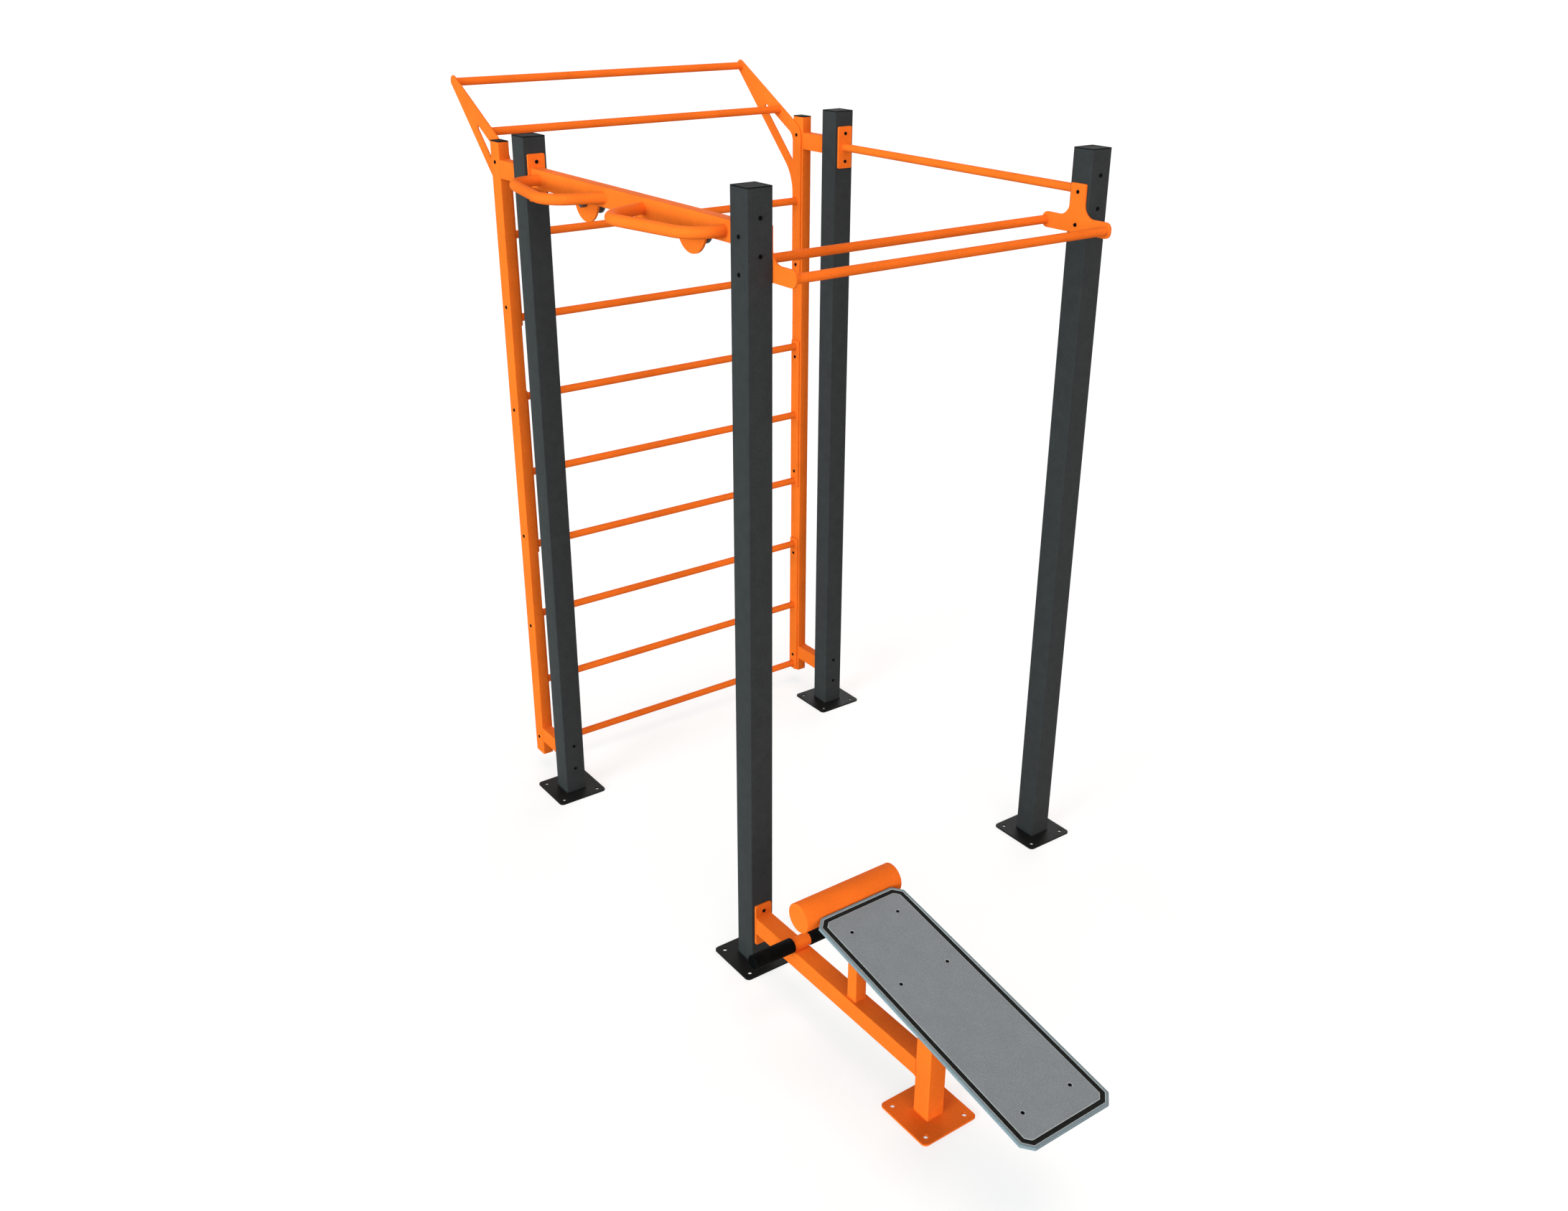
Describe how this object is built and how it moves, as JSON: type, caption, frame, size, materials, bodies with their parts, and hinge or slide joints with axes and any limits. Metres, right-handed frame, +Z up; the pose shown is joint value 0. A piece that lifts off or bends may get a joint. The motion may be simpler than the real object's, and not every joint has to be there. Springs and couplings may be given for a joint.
{
  "type": "outdoor fitness station",
  "caption": "Freestanding street workout frame: square posts with high bars, pull handles, parallel bars, wall bars with overhead bars, and a sloping sit-up bench with foot rolls.",
  "frame": {"origin": "on the ground, under the middle of the whole station's footprint", "axes": "+Z up; +X from the front post (where the bench starts) to the right post, along the parallel bars; +Y from the front post to the left post, along the pull handle beam, towards the wall bars"},
  "size_m": [1.5412, 3.2302, 2.5733],
  "materials": {
    "anthracite_coat": "fine-textured powder coat, matt, dark grey",
    "orange_coat": "smooth powder coat, satin, bright orange",
    "black_coat": "powder coat, satin, black",
    "black_plastic": "moulded plastic, fine grain, black",
    "grey_plastic": "polyethylene board, orange-peel texture, mid grey",
    "black_rubber": "smooth matt rubber, black",
    "dark_steel": "powder coat over turned steel, dark blue-grey"
  },
  "bodies": {
    "frame": {"base_plate_front": "black_coat", "post_front": "anthracite_coat", "post_cap_front": "black_plastic", "base_plate_right": "black_coat", "post_right": "anthracite_coat", "post_cap_right": "black_plastic", "base_plate_back": "black_coat", "post_back": "anthracite_coat", "post_cap_back": "black_plastic", "base_plate_left": "black_coat", "post_left": "anthracite_coat", "post_cap_left": "black_plastic", "handle_beam": "orange_coat", "pull_handle_left": "orange_coat", "hanger_lug_left": "orange_coat", "hanger_peg_left": "dark_steel", "pull_handle_right": "orange_coat", "hanger_lug_right": "orange_coat", "hanger_peg_right": "dark_steel", "high_bar": "orange_coat", "bar_bracket_front": "orange_coat", "bar_bracket_right": "orange_coat", "parallel_bar_outer": "orange_coat", "parallel_bar_inner": "orange_coat", "wall_arm_left_high": "orange_coat", "wall_arm_left_low": "orange_coat", "wall_upright_left": "orange_coat", "wall_upright_cap_left": "black_plastic", "rung_strip_left_low": "orange_coat", "rung_strip_left_middle": "orange_coat", "gusset_panel_left": "orange_coat", "wall_arm_right_high": "orange_coat", "wall_arm_right_low": "orange_coat", "wall_upright_right": "orange_coat", "wall_upright_cap_right": "black_plastic", "rung_strip_right_low": "orange_coat", "rung_strip_right_middle": "orange_coat", "gusset_panel_right": "orange_coat", "rung_1": "orange_coat", "rung_2": "orange_coat", "rung_3": "orange_coat", "rung_4": "orange_coat", "rung_5": "orange_coat", "rung_6": "orange_coat", "rung_7": "orange_coat", "rung_8": "orange_coat", "overhead_bar_inner": "orange_coat", "overhead_bar_outer": "orange_coat", "bench_beam": "orange_coat", "bench_leg": "orange_coat", "bench_strut": "orange_coat", "board_carrier": "orange_coat", "knee_roll": "orange_coat", "foot_axle": "orange_coat", "bench_board": "grey_plastic", "foot_roll_cap_left": "black_plastic", "foot_roll_cap_right": "black_plastic"},
    "foot_roll_left": {"foot_roll_left": "black_rubber"},
    "foot_roll_right": {"foot_roll_right": "black_rubber"}
  },
  "joints": [
    {"name": "foot_roll_left_spin", "type": "hinge", "parent": "frame", "child": "foot_roll_left", "pos_m": [-0.68078, -0.48741, 0.2043], "axis": [1, 0, 0], "continuous": true},
    {"name": "foot_roll_right_spin", "type": "hinge", "parent": "frame", "child": "foot_roll_right", "pos_m": [-0.47298, -0.48741, 0.2043], "axis": [1, 0, 0], "continuous": true}
  ]
}
